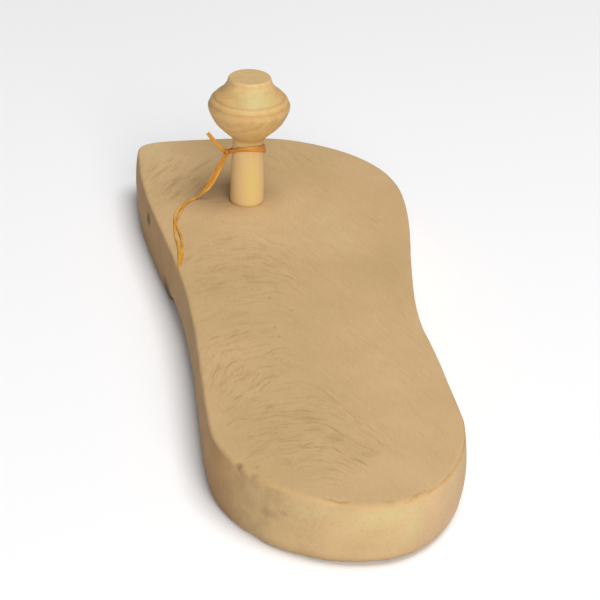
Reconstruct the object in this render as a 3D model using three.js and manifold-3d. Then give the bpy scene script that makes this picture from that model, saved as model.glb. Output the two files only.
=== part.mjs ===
// Toe-knob sandal of pale wood, for the right foot.
// One carved sole, one turned knob that stands between the first two toes, and a strip of raffia tied
// round the knob's neck with its loose end lying on the footbed.
// Millimetres. The origin is on the floor under the middle of the sole, +Y runs to the toes, +X runs to
// the outer side of the foot, and +Z is up.

import * as THREE from 'three';
import { mergeVertices } from 'three/addons/utils/BufferGeometryUtils.js';
import Module from 'manifold-3d';

// Driving sizes of the sole.
const soleLength = 252;
const ballWidth = 96;
const soleThickness = 21.5;

// The wall bulges most at its middle and draws in towards the footbed and the underside.
const bellyHeight = 11;
const footbedInset = 1;
const underInset = 0.8;

// The underside stands on a heel pad and a ball pad, with a shallow arch cut away between them.
const archDepth = 4.6;
const archHeelEnd = -44;
const archBallEnd = 37;
const archHeelSlope = 10;
const archBallSlope = 7;

// Sizes of the turned knob. Its heights are counted from the footbed.
const knobAcross = -10.7;
const knobAlong = 70.1;
const knobHeight = 48.2;
const neckFoot = 12.2;
const neckWaist = 11.2;
const headWidth = 29.2;
const topDisc = 15.4;
const tenonWidth = 10;
const tenonRecess = 0.8;
const scribeDepth = 0.35;

// Sizes of the raffia.
const raffiaWidth = 2;
const wrapHeight = 20.3;
const wrapBand = 2.4;
const wrapThickness = 1;
const wrapTilt = 0.44;

// Pieces that meet keep this clearance.
const gap = 0.3;

// Steps round a turned piece.
const turnSteps = 48;

const wasm = await Module();
wasm.setup();

// Turns a closed geometry into a solid that can be cut and joined.
function toSolid(geometry) {
  const bare = geometry.clone();
  bare.deleteAttribute('normal');
  bare.deleteAttribute('uv');
  const merged = mergeVertices(bare, 1e-4);
  const vertProperties = new Float32Array(merged.attributes.position.array);
  const triVerts = new Uint32Array(merged.index.array);
  return new wasm.Manifold(new wasm.Mesh({ numProp: 3, vertProperties, triVerts }));
}

// Turns a solid back into a geometry.
function toGeometry(solid) {
  const mesh = solid.getMesh();
  const geometry = new THREE.BufferGeometry();
  geometry.setAttribute('position', new THREE.BufferAttribute(new Float32Array(mesh.vertProperties), 3));
  geometry.setIndex(new THREE.BufferAttribute(new Uint32Array(mesh.triVerts), 1));
  geometry.computeVertexNormals();
  return geometry;
}

// Outline of the sole at its widest line, seen from above, anticlockwise from the back of the heel.
// heading is the way the edge runs, in degrees from +X. before and after are the reach of the curve on
// each side of the point, and steps is how finely the stretch after it is divided. under and over are
// the radii to which the wall's lower and upper edges are rounded there.
const half = { length: soleLength / 2, width: ballWidth / 2 };
const outlineColumns = ['across', 'along', 'heading', 'before', 'after', 'steps', 'under', 'over'];
const outlineTable = {
  'back of heel': [-1, -half.length, 0, 11, 19, 12, 5.4, 1.6],
  'outer heel': [33.5, -80.5, 90, 21, 25, 8, 2.6, 1],
  'outer waist': [33.7, -34, 92, 20, 20, 8, 3, 1.2],
  'outer spread': [40.6, 22, 80, 18, 16, 8, 3, 1.2],
  'outer ball': [half.width, 73, 90, 20, 21, 9, 3, 1.4],
  'outer toes': [26.2, 115.2, 144, 14, 14, 9, 2.8, 1.6],
  'tip of toes': [-13.5, half.length, 180, 21, 19.5, 12, 2.6, 1.8],
  'inner toes': [-47, 114.5, 267.5, 9, 10.5, 5, 2.6, 1.6],
  'inner ball': [-half.width, 91.5, 270, 10.5, 25, 10, 2.4, 1.4],
  'inner waist': [-42, -2, 270, 30, 30, 10, 2.4, 1.4],
  'inner heel': [-45, -79.5, 270, 20, 12, 6, 1.8, 2],
  'inner back of heel': [-31.2, -112.3, 313.5, 12, 12, 6, 1.8, 2.2],
};
const outlineRows = Object.values(outlineTable).map((row) => (
  Object.fromEntries(outlineColumns.map((column, i) => [column, row[i]]))
));

function outlinePoints() {
  const points = [];
  outlineRows.forEach((row, i) => {
    const next = outlineRows[(i + 1) % outlineRows.length];
    const start = new THREE.Vector2(row.across, row.along);
    const end = new THREE.Vector2(next.across, next.along);
    const leave = THREE.MathUtils.degToRad(row.heading);
    const arrive = THREE.MathUtils.degToRad(next.heading);
    const curve = new THREE.CubicBezierCurve(
      start,
      new THREE.Vector2(start.x + row.after * Math.cos(leave), start.y + row.after * Math.sin(leave)),
      new THREE.Vector2(end.x - next.before * Math.cos(arrive), end.y - next.before * Math.sin(arrive)),
      end,
    );
    for (let step = 0; step < row.steps; step += 1) {
      const u = step / row.steps;
      const tangent = curve.getTangentAt(u);
      points.push({
        place: curve.getPointAt(u),
        outward: new THREE.Vector2(tangent.y, -tangent.x),
        under: THREE.MathUtils.lerp(row.under, next.under, u),
        over: THREE.MathUtils.lerp(row.over, next.over, u),
      });
    }
  });
  return points;
}

// Section of the wall from the underside up: the height and how far it is in from the widest line.
function wallSection(under, over) {
  const quarter = [0, 30, 60, 90].map((turn) => THREE.MathUtils.degToRad(turn));
  const lowEdge = quarter.map((turn) => ({
    height: under * (1 - Math.cos(turn)),
    inset: underInset + under * (1 - Math.sin(turn)),
  }));
  const belly = [
    { height: bellyHeight * 0.65, inset: underInset * 0.2 },
    { height: bellyHeight, inset: 0 },
    { height: (bellyHeight + soleThickness) / 2, inset: footbedInset * 0.3 },
  ];
  const highEdge = quarter.map((turn) => ({
    height: soleThickness - over * (1 - Math.sin(turn)),
    inset: footbedInset * 0.8 + over * (1 - Math.cos(turn)),
  }));
  return [...lowEdge, ...belly, ...highEdge];
}

// Closed body through rings of equal length, from the lowest ring to the highest, with flat ends.
function loft(rings) {
  const count = rings[0].length;
  const positions = rings.flat().flatMap((point) => [point.x, point.y, point.z]);
  const index = [];
  for (let ring = 0; ring + 1 < rings.length; ring += 1) {
    for (let i = 0; i < count; i += 1) {
      const a = ring * count + i;
      const b = ring * count + ((i + 1) % count);
      index.push(a, b, b + count, a, b + count, a + count);
    }
  }
  const flatEnd = (ring) => {
    const contour = ring.map((point) => new THREE.Vector2(point.x, point.y));
    return THREE.ShapeUtils.triangulateShape(contour, []);
  };
  for (const [a, b, c] of flatEnd(rings[0])) {
    index.push(a, c, b);
  }
  const top = (rings.length - 1) * count;
  for (const [a, b, c] of flatEnd(rings[rings.length - 1])) {
    index.push(top + a, top + b, top + c);
  }
  const geometry = new THREE.BufferGeometry();
  geometry.setAttribute('position', new THREE.Float32BufferAttribute(positions, 3));
  geometry.setIndex(index);
  return geometry;
}

// The arch that is cut away between the pads, a long low hollow with sloped ends, run across the sole.
// end is where a slope meets the pad, and inwards is the way from there to the middle of the arch.
function archCutter() {
  const below = -5;
  const reach = ballWidth * 0.6;
  const slopes = [
    { end: archHeelEnd, inwards: 1, run: archHeelSlope },
    { end: archBallEnd, inwards: -1, run: archBallSlope },
  ];
  const corners = slopes.map(({ end, inwards, run }) => ({
    foot: [end + (inwards * run * below) / archDepth, below],
    slopeTop: [end + inwards * run * 0.7, archDepth * 0.7],
    bend: [end + inwards * run, archDepth],
    roofStart: [end + inwards * run * 1.6, archDepth],
  }));
  const [heel, ball] = corners;
  const side = new THREE.Shape();
  side.moveTo(...heel.foot);
  side.lineTo(...heel.slopeTop);
  side.quadraticCurveTo(...heel.bend, ...heel.roofStart);
  side.lineTo(...ball.roofStart);
  side.quadraticCurveTo(...ball.bend, ...ball.slopeTop);
  side.lineTo(...ball.foot);
  side.closePath();
  const cutter = new THREE.ExtrudeGeometry(side, { depth: 2 * reach, bevelEnabled: false, curveSegments: 4 });
  // The side view is drawn along +X and up +Y, so it is stood up and turned to run along the sole.
  cutter.rotateX(Math.PI / 2);
  cutter.rotateZ(Math.PI / 2);
  cutter.translate(-reach, 0, 0);
  return cutter;
}

// An upright cylinder on the knob's axis.
function cylinder(radius, low, high) {
  const geometry = new THREE.CylinderGeometry(radius, radius, high - low, turnSteps);
  geometry.rotateX(Math.PI / 2);
  geometry.translate(knobAcross, knobAlong, (low + high) / 2);
  return geometry;
}

function makeSole() {
  const outline = outlinePoints();
  const sections = outline.map(({ under, over }) => wallSection(under, over));
  const rings = sections[0].map((_, level) => outline.map(({ place, outward }, i) => {
    const { height, inset } = sections[i][level];
    return new THREE.Vector3(place.x - inset * outward.x, place.y - inset * outward.y, height);
  }));
  const blank = toSolid(loft(rings));
  const arch = toSolid(archCutter());
  const hole = toSolid(cylinder(tenonWidth / 2 + gap, -soleThickness, 2 * soleThickness));
  return toGeometry(blank.subtract(arch).subtract(hole));
}

// The knob's turned profile from the bottom of its tenon to the middle of its top disc.
function makeKnob() {
  const shoulder = soleThickness + gap;
  const above = (height) => soleThickness + height;
  const waistRadius = neckWaist / 2;
  const headRadius = headWidth / 2;
  const discRadius = topDisc / 2;
  const profile = [
    { radius: 0, height: tenonRecess },
    { radius: tenonWidth / 2 - 0.6, height: tenonRecess },
    { radius: tenonWidth / 2, height: tenonRecess + 0.6 },
    { radius: tenonWidth / 2, height: shoulder },
    { radius: neckFoot / 2, height: shoulder },
    { radius: neckFoot / 2 - 0.1, height: above(4.7) },
    { radius: waistRadius + 0.3, height: above(12.2) },
    { radius: waistRadius, height: above(20.3) },
    { radius: waistRadius, height: above(24.2) },
    { radius: waistRadius + 0.4, height: above(25.5) },
    { radius: waistRadius + 1.9, height: above(26.8) },
    { radius: headRadius * 0.64, height: above(28.6) },
    { radius: headRadius * 0.75, height: above(30.2) },
    { radius: headRadius * 0.85, height: above(32) },
    { radius: headRadius * 0.95, height: above(34.8) },
    { radius: headRadius * 0.99, height: above(36.4) },
    { radius: headRadius, height: above(37.7) },
    { radius: headRadius * 0.98, height: above(38.4) },
    { radius: headRadius * 0.955 - scribeDepth, height: above(38.9) },
    { radius: headRadius * 0.94, height: above(39.4) },
    { radius: headRadius * 0.885, height: above(40.5) },
    { radius: headRadius * 0.86 - scribeDepth, height: above(40.9) },
    { radius: headRadius * 0.825, height: above(41.3) },
    { radius: headRadius * 0.7, height: above(43) },
    { radius: headRadius * 0.61, height: above(44.6) },
    { radius: discRadius * 1.04, height: above(46.2) },
    { radius: discRadius, height: above(47.4) },
    { radius: discRadius - 0.5, height: above(knobHeight) },
    { radius: 0, height: above(knobHeight) },
  ];
  const points = profile.map(({ radius, height }) => new THREE.Vector2(radius, height));
  const geometry = new THREE.LatheGeometry(points, turnSteps);
  geometry.rotateX(Math.PI / 2);
  geometry.translate(knobAcross, knobAlong, 0);
  return toGeometry(toSolid(geometry));
}

// A round strand along a smooth curve through the points given.
function strand(places, steps) {
  const sides = 8;
  const section = new THREE.Shape();
  for (let i = 0; i < sides; i += 1) {
    const turn = (2 * Math.PI * i) / sides;
    const x = (raffiaWidth / 2) * Math.cos(turn);
    const y = (raffiaWidth / 2) * Math.sin(turn);
    if (i === 0) {
      section.moveTo(x, y);
    } else {
      section.lineTo(x, y);
    }
  }
  section.closePath();
  const route = new THREE.CatmullRomCurve3(places.map((place) => new THREE.Vector3(...place)));
  return new THREE.ExtrudeGeometry(section, { steps, extrudePath: route, bevelEnabled: false });
}

// The raffia is wound round the neck, rising towards the heel side, and knotted on the inner side.
// The other end of the knot is cut to a short stub.
const knotRadius = 2;
const knot = { across: knobAcross - 8, along: knobAlong - 0.8, height: soleThickness + 19.8 };
const stubReach = 10;

function makeTie() {
  const inner = neckWaist / 2 + 2 * gap;
  const outer = inner + wrapThickness;
  const band = [
    new THREE.Vector2(inner, -wrapBand / 2),
    new THREE.Vector2(outer - 0.3, -wrapBand / 2),
    new THREE.Vector2(outer, -wrapBand / 2 + 0.5),
    new THREE.Vector2(outer, wrapBand / 2 - 0.5),
    new THREE.Vector2(outer - 0.3, wrapBand / 2),
    new THREE.Vector2(inner, wrapBand / 2),
    new THREE.Vector2(inner, -wrapBand / 2),
  ];
  const ring = new THREE.LatheGeometry(band, turnSteps / 2);
  ring.rotateX(Math.PI / 2);
  ring.applyMatrix4(new THREE.Matrix4().makeShear(0, 0, 0, -wrapTilt, 0, 0));
  ring.translate(knobAcross, knobAlong, soleThickness + wrapHeight);
  const lump = new THREE.SphereGeometry(knotRadius, 12, 8);
  lump.translate(knot.across, knot.along, knot.height);
  const stub = strand([
    [knot.across, knot.along, knot.height],
    [knot.across - stubReach * 0.3, knot.along + 0.2, knot.height + stubReach * 0.28],
    [knot.across - stubReach * 0.67, knot.along + 0.6, knot.height + stubReach * 0.75],
  ], 4);
  return toGeometry(toSolid(ring).add(toSolid(lump)).add(toSolid(stub)));
}

// The loose end: down from the knot, then along the inner edge of the footbed to the edge of the wall.
const lying = soleThickness + gap + raffiaWidth / 2;
const tailRoute = [
  [-19.4, 69.5, 38.9],
  [-20.1, 69.8, 37.2],
  [-21.1, 70.2, 34.9],
  [-22.2, 70.6, 32.2],
  [-23.4, 71, 29.6],
  [-24.7, 71.5, 27.2],
  [-26.2, 72, 25.1],
  [-28, 72.4, 23.5],
  [-29.9, 72.3, lying],
  [-32.2, 70.3, lying],
  [-34.2, 67.3, lying],
  [-35.9, 63.8, lying],
  [-37.3, 60, lying],
  [-38.3, 55.8, lying],
  [-38.8, 51.2, lying],
  [-38.9, 46.4, lying],
  [-38.9, 41.6, lying],
  [-39, 36.8, lying],
  [-39.3, 32.2, lying],
  [-39.9, 27.8, lying],
  [-40.7, 23.6, lying],
  [-41.7, 19.6, lying],
];

function makeTail() {
  return toGeometry(toSolid(strand(tailRoute, 26)));
}

const paleWood = new THREE.MeshStandardMaterial({ color: 0xc8a876, roughness: 0.75, metalness: 0 });
const turnedWood = new THREE.MeshStandardMaterial({ color: 0xd2b06e, roughness: 0.55, metalness: 0 });
const raffia = new THREE.MeshStandardMaterial({ color: 0xd2963c, roughness: 0.5, metalness: 0 });

const group = new THREE.Group();
const pieces = [
  { name: 'sole', geometry: makeSole(), material: paleWood },
  { name: 'toe_knob', geometry: makeKnob(), material: turnedWood },
  { name: 'raffia_tie', geometry: makeTie(), material: raffia },
  { name: 'raffia_tail', geometry: makeTail(), material: raffia.clone() },
];
for (const { name, geometry, material } of pieces) {
  const mesh = new THREE.Mesh(geometry, material);
  mesh.name = name;
  group.add(mesh);
}

export default group;
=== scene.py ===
import math

import bmesh
import bpy
from mathutils import Matrix, Vector, noise
from mathutils.geometry import interpolate_bezier


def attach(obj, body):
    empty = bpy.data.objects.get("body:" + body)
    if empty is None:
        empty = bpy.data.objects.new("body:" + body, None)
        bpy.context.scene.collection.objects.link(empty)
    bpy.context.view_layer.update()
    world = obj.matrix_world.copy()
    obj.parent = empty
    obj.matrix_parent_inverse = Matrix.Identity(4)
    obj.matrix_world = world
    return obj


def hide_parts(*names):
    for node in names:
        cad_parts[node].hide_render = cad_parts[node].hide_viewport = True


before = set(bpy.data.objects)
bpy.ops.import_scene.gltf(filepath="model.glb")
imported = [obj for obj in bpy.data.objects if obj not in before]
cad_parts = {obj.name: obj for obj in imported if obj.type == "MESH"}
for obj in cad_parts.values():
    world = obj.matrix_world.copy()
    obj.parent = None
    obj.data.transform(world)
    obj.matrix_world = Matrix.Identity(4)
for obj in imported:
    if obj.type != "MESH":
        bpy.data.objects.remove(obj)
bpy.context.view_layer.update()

# Camera
# It stands behind the heel, a little to the inner side, at arm's length. It looks down at the footbed
# through a long lens, and the shoe fills the middle of the frame.
MM = 0.001
eye = Vector((-110.9, -564.8, 336.8)) * MM
aim = Vector((-4, -5, 21)) * MM

# It is levelled at this heading and tilt, and then swung over to the shoe and not levelled again.
level_heading = math.radians(6.3)
level_tilt = math.radians(29.5)
level_look = Vector((
    math.sin(level_heading) * math.cos(level_tilt),
    math.cos(level_heading) * math.cos(level_tilt),
    -math.sin(level_tilt)))
swing = level_look.rotation_difference(aim - eye)

long_lens = bpy.data.cameras.new("long_lens")
long_lens.lens = 118
camera = bpy.data.objects.new("camera", long_lens)
camera.location = eye
camera.rotation_euler = (swing @ level_look.to_track_quat("-Z", "Y")).to_euler()
bpy.context.scene.collection.objects.link(camera)
bpy.context.scene.camera = camera


# Raffia tail
# The loose end of the strip that is tied round the knob: dried palm leaf, split into two fibres that
# part and meet again. It drops from the knot, lies along the inner side of the footbed, and ends in a
# torn point at the edge. It weighs next to nothing and keeps the bends it was given.
def linear(code):
    """An sRGB hex colour as the linear colour that a shader takes."""
    channels = [int(code[i:i + 2], 16) / 255 for i in (1, 3, 5)]
    return [c / 12.92 if c <= 0.04045 else ((c + 0.055) / 1.055) ** 2.4 for c in channels] + [1]


def add(tree, kind, links=None, **settings):
    """Adds a shader node. links gives its sockets a value or the output that feeds them."""
    made = tree.nodes.new(kind)
    for name, value in settings.items():
        setattr(made, name, value)
    for socket, value in (links or {}).items():
        if isinstance(value, bpy.types.NodeSocket):
            tree.links.new(value, made.inputs[socket])
        else:
            made.inputs[socket].default_value = value
    return made


def new_material(name):
    """An empty material and its node tree."""
    material = bpy.data.materials.new(name)
    material.use_nodes = True
    material.node_tree.nodes.clear()
    return material, material.node_tree


def shade(ramp, stops):
    """Sets the colours of a ramp, each at its place from 0 to 1."""
    while len(ramp.elements) < len(stops):
        ramp.elements.new(1)
    for element, (place, code) in zip(ramp.elements, stops):
        element.position = place
        element.color = linear(code)


def place_in_mm(tree):
    """The place on a piece, in millimetres from the frame's origin."""
    where = add(tree, "ShaderNodeTexCoord")
    return add(tree, "ShaderNodeVectorMath", {0: where.outputs["Object"], 1: (1 / MM, 1 / MM, 1 / MM)},
               operation="MULTIPLY").outputs[0]


def soft_spot(tree, place, centre, reach, turn=0, strength=1, core=0.25):
    """How far a place is inside a soft ellipsoid, from 0 at its rim up to the strength at its core."""
    local = add(tree, "ShaderNodeMapping", {
        "Vector": place, "Location": centre, "Rotation": (0, 0, math.radians(turn)), "Scale": reach},
        vector_type="TEXTURE")
    far = add(tree, "ShaderNodeVectorMath", {0: local.outputs[0]}, operation="LENGTH")
    return add(tree, "ShaderNodeMapRange", {
        "Value": far.outputs["Value"], "From Min": 1, "From Max": core, "To Max": strength},
        interpolation_type="SMOOTHSTEP").outputs[0]


def tinted(tree, colour, layers):
    """A colour with layers of other colours laid over it, each with its amount and its share."""
    for amount, share, code in layers:
        depth = add(tree, "ShaderNodeMath", {0: amount, 1: share}, operation="MULTIPLY")
        colour = add(tree, "ShaderNodeMix", {0: depth.outputs[0], 6: colour, 7: linear(code)},
                     data_type="RGBA").outputs[2]
    return colour


def smooth_line(points, spans):
    """Points on the smooth curve through the points given, with that many steps between two of them."""
    reach = [2 * points[0] - points[1], *points, 2 * points[-1] - points[-2]]
    line = []
    for before, start, end, after in zip(reach, reach[1:], reach[2:], reach[3:]):
        for step in range(spans):
            t = step / spans
            line.append(0.5 * (
                2 * start + (end - before) * t
                + (2 * before - 5 * start + 4 * end - after) * t ** 2
                + (3 * start - before - 3 * end + after) * t ** 3
            ))
    return line + [points[-1]]


def read_off(table, column, at):
    """The value in one column of a table of rows, at a place between two rows."""
    for low, high in zip(table, table[1:]):
        if at <= high[0]:
            part = max(0, (at - low[0]) / (high[0] - low[0]))
            ease = part * part * (3 - 2 * part)
            return low[column] + (high[column] - low[column]) * ease
    return table[-1][column]


def draw_out(bm, rings):
    """Extrudes a ring of vertices through each ring of places in turn, and closes both ends."""
    first = [bm.verts.new(place) for place in rings[0]]
    edges = [bm.edges.new((a, b)) for a, b in zip(first, first[1:] + first[:1])]
    bm.faces.new(list(reversed(first)))
    current = first
    for ring in rings[1:]:
        made = bmesh.ops.extrude_edge_only(bm, edges=edges)["geom"]
        fresh = [item for item in made if isinstance(item, bmesh.types.BMVert)]
        edges = [item for item in made if isinstance(item, bmesh.types.BMEdge)
                 and item.verts[0] in fresh and item.verts[1] in fresh]
        follow = {}
        for vert in fresh:
            for edge in vert.link_edges:
                other = edge.other_vert(vert)
                if other in current:
                    follow[other] = vert
        current = [follow[vert] for vert in current]
        for vert, place in zip(current, ring):
            vert.co = place
    bm.faces.new(current)
    bmesh.ops.recalc_face_normals(bm, faces=bm.faces)


def place_piece(name, bm, material, sharp=None):
    """Makes an object of a bmesh, at the origin, and puts it in the scene."""
    mesh = bpy.data.meshes.new(name)
    bm.to_mesh(mesh)
    bm.free()
    mesh.materials.append(material)
    mesh.polygons.foreach_set("use_smooth", [True] * len(mesh.polygons))
    if sharp is not None:
        mesh.set_sharp_from_angle(angle=math.radians(sharp))
    piece = bpy.data.objects.new(name, mesh)
    bpy.context.scene.collection.objects.link(piece)
    return piece


FOOTBED = 21.5
strip_thickness = 0.5
ring_sides = 12

# The strip's looks: dyed and dried palm leaf, pulled into a narrow strip. Its long fibres show as
# fine lines of light and dark orange, and its waxy skin gives a soft streaky shine.
raffia_palm, tree = new_material("raffia_palm_leaf_dyed_dried")
strip = add(tree, "ShaderNodeAttribute", attribute_name="strand")
# The attribute holds millimetres across, through and along the strip. A fibre is about 0.2 mm wide
# and runs on for about 20 mm.
fibre_place = add(tree, "ShaderNodeVectorMath", {0: strip.outputs["Vector"], 1: (5, 5, 0.05)},
                  operation="MULTIPLY")
fibres = add(tree, "ShaderNodeTexNoise", {"Vector": fibre_place.outputs[0], "Scale": 1, "Detail": 3,
                                          "Roughness": 0.6})
patch_place = add(tree, "ShaderNodeVectorMath", {0: strip.outputs["Vector"], 1: (0.7, 0.7, 0.16)},
                  operation="MULTIPLY")
patches = add(tree, "ShaderNodeTexNoise", {"Vector": patch_place.outputs[0], "Scale": 1, "Detail": 2})
mixed = add(tree, "ShaderNodeMix", {0: 0.5, 2: fibres.outputs["Fac"], 3: patches.outputs["Fac"]},
            data_type="FLOAT")
fibre_colour = add(tree, "ShaderNodeValToRGB", {0: mixed.outputs[0]})
shade(fibre_colour.color_ramp, [(0.3, "#A86A1C"), (0.45, "#CB8D30"), (0.55, "#DBA242"), (0.7, "#EABD66")])
# Round the knob the strip is creased and doubled, and its dye looks a deeper orange.
knob_axis = Vector((-10.7, 70.1, 0))
in_mm = place_in_mm(tree)
creased = soft_spot(tree, in_mm, knob_axis + Vector((0, 0, 41.5)), (11, 11, 5), core=0.7)
dyed = tinted(tree, fibre_colour.outputs["Color"], [(creased, 0.65, "#CC781A")])
fibre_bump = add(tree, "ShaderNodeBump", {"Strength": 0.6, "Distance": 0.08 * MM,
                                          "Height": fibres.outputs["Fac"]})
skin = add(tree, "ShaderNodeBsdfPrincipled", {
    "Base Color": dyed, "Roughness": 0.5, "IOR": 1.48,
    "Specular IOR Level": 0.45, "Normal": fibre_bump.outputs["Normal"]})
add(tree, "ShaderNodeOutputMaterial", {"Surface": skin.outputs[0]})


def lay_fibre(bm, route, profile, side_of, spread, seed):
    """Draws one fibre of the strip out along a route.

    profile has rows of the way along, half the gap between the two fibres, and half the width of one,
    in millimetres. side_of gives the way that the strip is broad, and spread is which fibre it is.
    """
    strand = bm.verts.layers.float_vector.get("strand") or bm.verts.layers.float_vector.new("strand")
    before = len(bm.verts)
    rings = []
    labels = []
    along = 0
    for i, middle in enumerate(route):
        if i:
            along += (middle - route[i - 1]).length / MM
        ahead = route[min(i + 1, len(route) - 1)] - route[max(i - 1, 0)]
        broad = side_of(middle, ahead.normalized())
        through = ahead.normalized().cross(broad)
        gap = read_off(profile, 1, along) * spread
        half_width = read_off(profile, 2, along)
        half_thickness = strip_thickness / 2 * min(1, half_width / 0.3)
        lift = 0.12 * noise.noise(Vector((along / 7, seed, 0)))
        ring = []
        for k in range(ring_sides):
            turn = 2 * math.pi * k / ring_sides
            across = gap + half_width * math.cos(turn)
            up = half_thickness * math.sin(turn) + lift
            ring.append(middle + (broad * across + through * up) * MM)
            labels.append((across + 7 * seed, up, along))
        rings.append(ring)
    draw_out(bm, rings)
    bm.verts.ensure_lookup_table()
    for vert, label in zip(list(bm.verts)[before:], labels):
        vert[strand] = label


# The route's points in millimetres, from the knot down to the footbed and along it.
lying = FOOTBED + strip_thickness / 2 + 0.1
tail_points = [
    (-18.9, 69.35, 40.6),
    (-19.4, 69.5, 38.9),
    (-20.1, 69.8, 37.2),
    (-21.1, 70.2, 34.9),
    (-22.2, 70.6, 32.2),
    (-23.4, 71, 29.6),
    (-24.7, 71.5, 27.2),
    (-26.2, 72, 25.1),
    (-28, 72.4, 23.2),
    (-29.9, 72.3, lying),
    (-32.2, 70.3, lying),
    (-34.2, 67.3, lying),
    (-35.9, 63.8, lying),
    (-37.3, 60, lying),
    (-38.3, 55.8, lying),
    (-38.8, 51.2, lying),
    (-38.9, 46.4, lying),
    (-38.9, 41.6, lying),
    (-39, 36.8, lying),
    (-39.3, 32.2, lying),
    (-39.9, 27.8, lying),
    (-40.7, 23.6, lying),
    (-41.7, 19.6, lying),
]
tail_route = smooth_line([Vector(point) * MM for point in tail_points], 8)

# The way along, half the gap between the two fibres, and half the width of one.
tail_profile = [
    (0, 0.35, 0.42),
    (9, 0.55, 0.62),
    (15, 0.58, 0.64),
    (20, 0.36, 0.46),
    (25, 0.26, 0.42),
    (29, 0.32, 0.42),
    (33, 0.62, 0.42),
    (37, 0.75, 0.4),
    (41, 0.45, 0.4),
    (44, 0.28, 0.42),
    (47, 0.48, 0.4),
    (50.4, 0.74, 0.4),
    (55.2, 0.95, 0.38),
    (59, 0.82, 0.42),
    (62, 0.55, 0.5),
    (65, 0.45, 0.6),
    (69, 0.4, 0.6),
    (73, 0.25, 0.45),
    (76.5, 0.1, 0.2),
    (78.5, 0.02, 0.06),
]


def tail_side(middle, ahead):
    """Where it hangs, the strip faces the heel. Where it lies, it is flat on the wood."""
    hanging = min(1, max(0, (middle.z - lying * MM) / (9 * MM)))
    face = Vector((0.1, -0.9, 0.35)) * hanging + Vector((0, 0, 1)) * (1 - hanging)
    return ahead.cross(face).normalized()


bm = bmesh.new()
for spread in (-1, 1):
    lay_fibre(bm, tail_route, tail_profile, tail_side, spread, spread)
raffia_tail = place_piece("raffia_tail_strip", bm, raffia_palm)
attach(raffia_tail, "root")
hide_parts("raffia_tail")

# Raffia tie
# The same strip, passed twice round the knob's neck under its head, and tied on the inner side in a
# small tight knot. The other end of the knot stands up and is cut short.
neck_radius = 5.6
wrap_height = FOOTBED + 20.3
wrap_tilt = 0.44
knot = Vector((-18.7, 69.3, 41.3))


def wrap_place(turn, radius):
    """A place on the tilted wrap. turn is in radians, from the outer side of the foot."""
    x = radius * math.cos(turn)
    y = radius * math.sin(turn)
    return (knob_axis + Vector((x, y, wrap_height - wrap_tilt * y))) * MM


def wrap_side(middle, ahead):
    """The strip is broad up and down where it goes round the neck."""
    outward = middle - knob_axis * MM
    outward.z = 0
    return outward.normalized().cross(ahead).normalized()


bm = bmesh.new()
wrap_radius = neck_radius + strip_thickness / 2 + 0.1
to_knot = math.pi + 0.1
leave = math.acos(wrap_radius / (knot - knob_axis).xy.length)
arc_steps = 72
wrap_profile = [(0, 0, 0.5), (6, 0, 0.72), (24, 0, 0.95), (38, 0, 0.8), (60, 0, 0.5)]
for pass_number, rise in ((0, 1), (1, -1)):
    radius = wrap_radius + 0.12 * pass_number
    arc = []
    for step in range(arc_steps + 1):
        turn = to_knot + leave + (2 * math.pi - 2 * leave) * step / arc_steps
        spread_out = 0.1 + 0.6 * (0.5 + 0.5 * math.cos(turn)) ** 3
        arc.append(wrap_place(turn, radius) + Vector((0, 0, rise * spread_out * MM)))
    ends = knot * MM + Vector((0.3, 0, 0.25 * rise)) * MM
    route = smooth_line([ends, *arc[::4], ends], 4)
    lay_fibre(bm, route, wrap_profile, wrap_side, 1, 3 + pass_number)

# The knot is a loop of the strip, drawn tight round the two passes where they meet.
loop_radius = 1
loop_turns = 1.3
loop_length = 1.1
loop_lean = Matrix.Rotation(math.radians(-35), 3, "X") @ Matrix.Rotation(math.radians(15), 3, "Z")
loop = []
loop_steps = 40
for step in range(loop_steps + 1):
    part = step / loop_steps
    turn = 2 * math.pi * loop_turns * part
    round_it = Vector((
        loop_length * (part - 0.5),
        loop_radius * math.cos(turn),
        loop_radius * math.sin(turn)))
    loop.append((knot + loop_lean @ round_it) * MM)


def loop_side(middle, ahead):
    """The loop's strip lies flat against what it holds."""
    outward = (middle - knot * MM).normalized()
    return outward.cross(ahead).normalized()


lay_fibre(bm, loop, [(0, 0, 0.5), (8, 0, 0.6)], loop_side, 1, 5)

stub_reach = 10
stub_points = [
    knot + Vector((0.4, 0, -0.3)),
    knot + Vector((-0.1 * stub_reach, 0.05, 0.08 * stub_reach)),
    knot + Vector((-0.3 * stub_reach, 0.2, 0.28 * stub_reach)),
    knot + Vector((-0.5 * stub_reach, 0.4, 0.52 * stub_reach)),
    knot + Vector((-0.67 * stub_reach, 0.6, 0.75 * stub_reach)),
]
stub_route = smooth_line([point * MM for point in stub_points], 10)


def stub_side(middle, ahead):
    """The stub faces the heel."""
    return ahead.cross(Vector((-0.2, -0.9, 0.4))).normalized()


stub_profile = [(0, 0.2, 0.3), (4, 0.34, 0.4), (8, 0.36, 0.42), (10.5, 0.34, 0.36), (11.5, 0.34, 0.2)]
for spread in (-1, 1):
    lay_fibre(bm, stub_route, stub_profile, stub_side, spread, 6 + spread)
raffia_tie = place_piece("raffia_tie_strip", bm, raffia_palm)
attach(raffia_tie, "root")
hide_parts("raffia_tie")

# Sole
# One board of pale, fine-grained hardwood, sawn to the foot's outline. Its wall is drawn in towards
# the footbed and the floor, its edges are eased by hand, and a low arch is cut away underneath. It is
# sanded and left bare.
sole_length = 252
ball_width = 96
belly_height = 11
footbed_inset = 0.8
under_inset = 0.8
arch_depth = 4.6
# Each end of the arch: its place along, the way inwards from it, and the run of its slope.
arch_ends = {"heel": (-44, 1, 10), "ball": (37, -1, 7)}
tenon_radius = 5

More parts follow.
